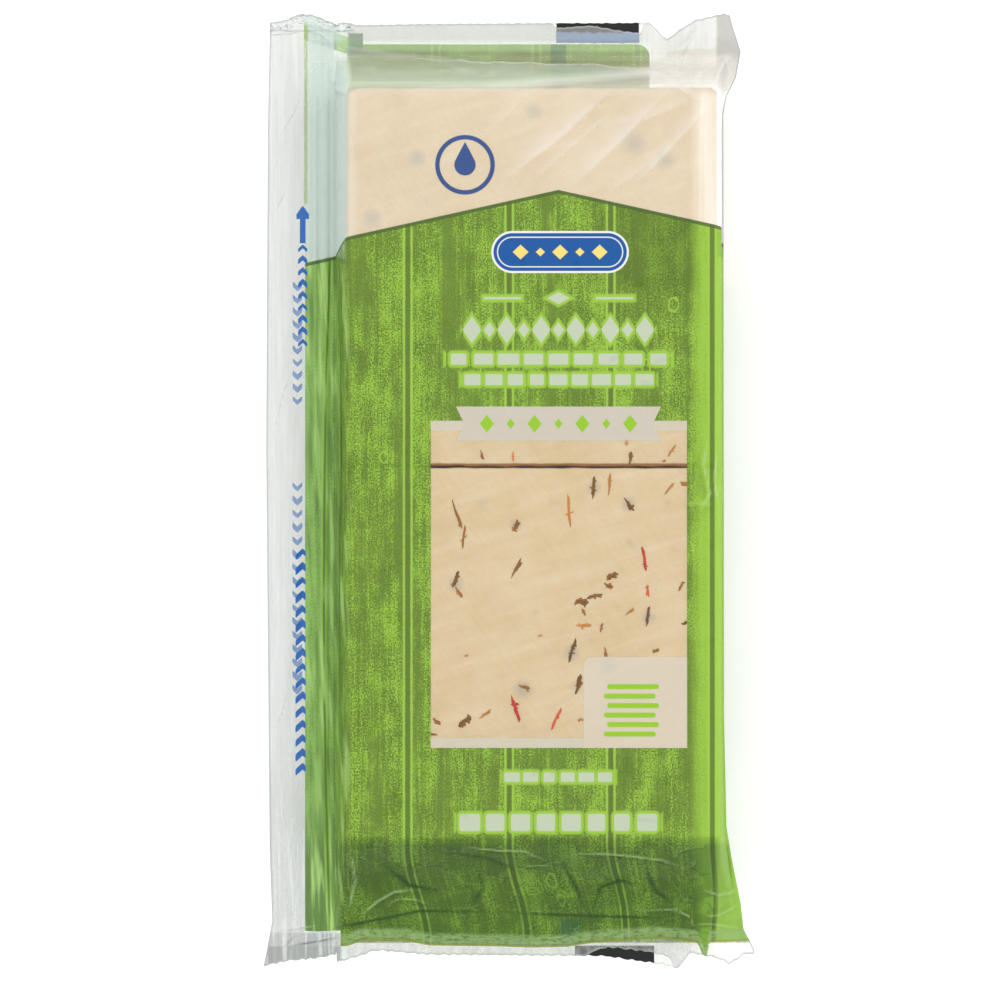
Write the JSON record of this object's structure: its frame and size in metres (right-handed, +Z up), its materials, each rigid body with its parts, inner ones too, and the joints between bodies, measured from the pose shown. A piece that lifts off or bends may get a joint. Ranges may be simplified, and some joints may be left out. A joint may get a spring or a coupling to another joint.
{
  "type": "pack of sliced cheese",
  "caption": "Sealed film pack of square cheese slices lying flat, printed side up, with a press-to-close zip flange along the left and crimped seals at both ends.",
  "frame": {"origin": "middle of the pack's bounding box, on the surface that it lies on", "axes": "+X to the right of the printed face, +Y towards its top end, +Z up out of the printed face"},
  "size_m": [0.1198, 0.2327, 0.0255],
  "materials": {
    "printed_film": "glossy clear film printed in wood-grain green, pale inside",
    "zip_plastic": "satin translucent",
    "cheese": "pale cream, satin, slightly translucent",
    "pepper_pieces": "moist dark green, brown and red flecks"
  },
  "bodies": {
    "root": {"film_pouch": "printed_film", "zip_strip": "zip_plastic"}
  },
  "joints": []
}
